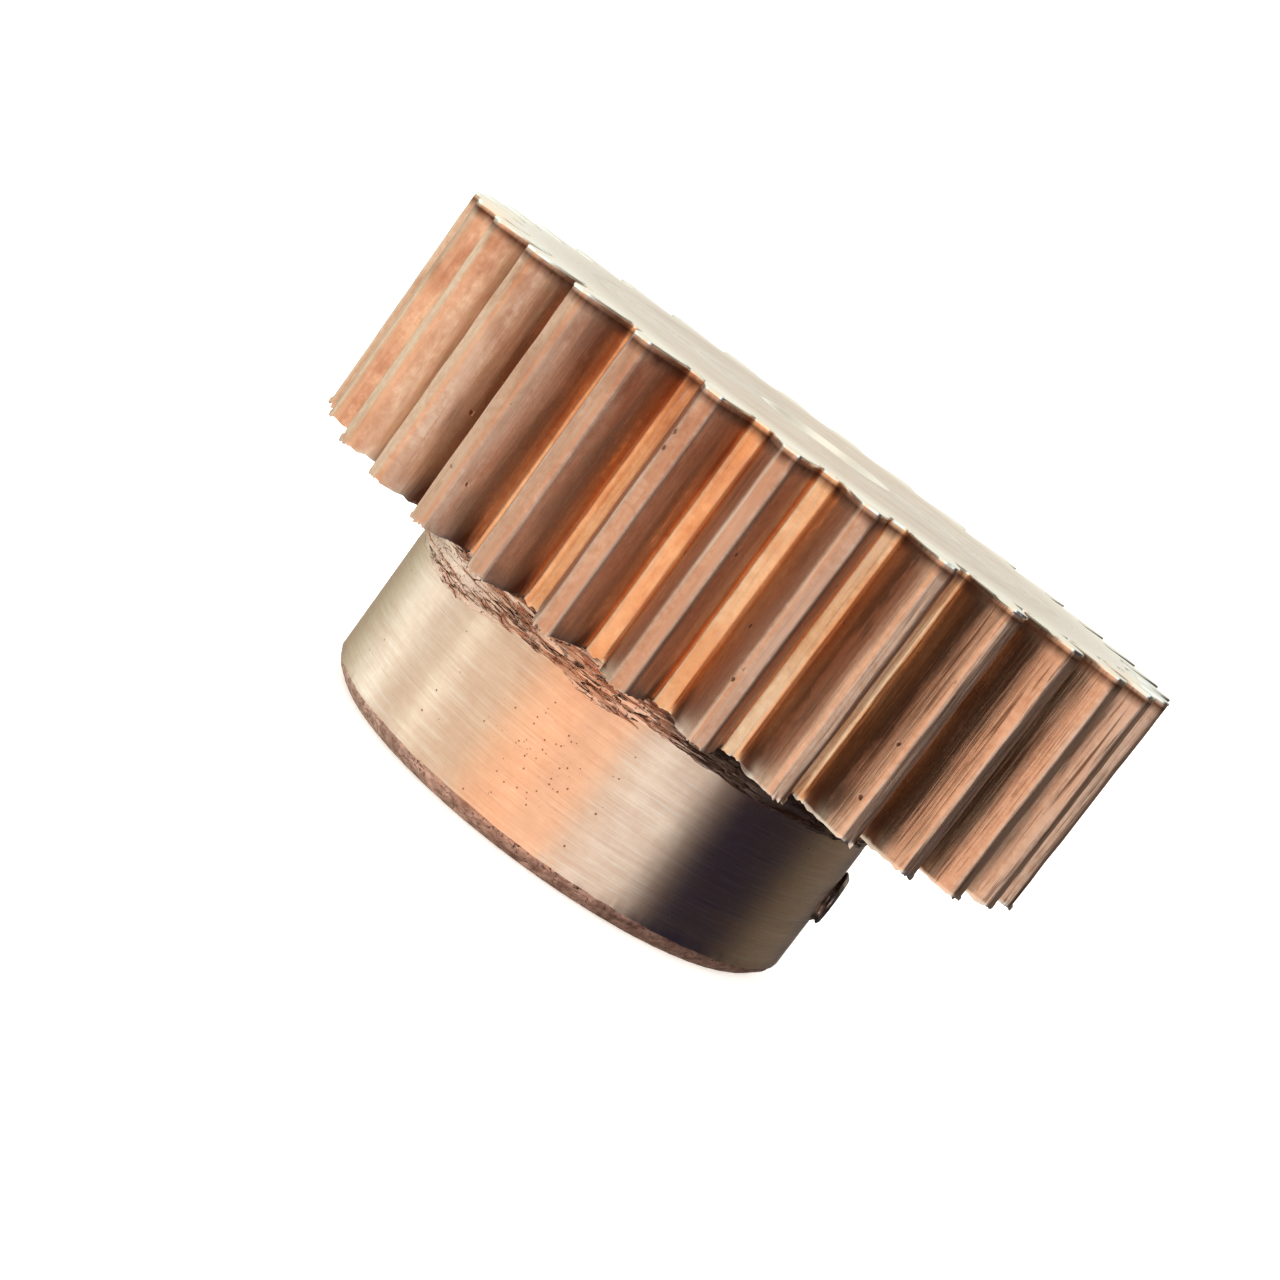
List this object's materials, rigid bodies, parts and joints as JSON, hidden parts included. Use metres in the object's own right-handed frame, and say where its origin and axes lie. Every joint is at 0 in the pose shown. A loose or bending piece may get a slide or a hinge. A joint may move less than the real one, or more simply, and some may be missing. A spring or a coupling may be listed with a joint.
{
  "type": "worm gear wheel with set screw",
  "caption": "Straight-toothed bronze wheel with a turned hub on one side, a through bore and a radial set screw that clamps it to its shaft.",
  "frame": {"origin": "on the wheel's axis, at the hub's flat end face", "axes": "+Z along the wheel's axis from the hub end to the toothed face; +X along the set screw, outwards"},
  "size_m": [0.051, 0.051, 0.028],
  "materials": {
    "bronze": "bare cast bronze, turned and cut, lightly oxidised",
    "screw_steel": "worn dark oxide"
  },
  "bodies": {
    "wheel": {"worm_wheel": "bronze"},
    "screw": {"set_screw": "screw_steel"}
  },
  "joints": [
    {"name": "screw_travel", "type": "slide", "parent": "wheel", "child": "screw", "axis": [1, 0, 0], "range_m": [-0.0015, 0.006]}
  ]
}
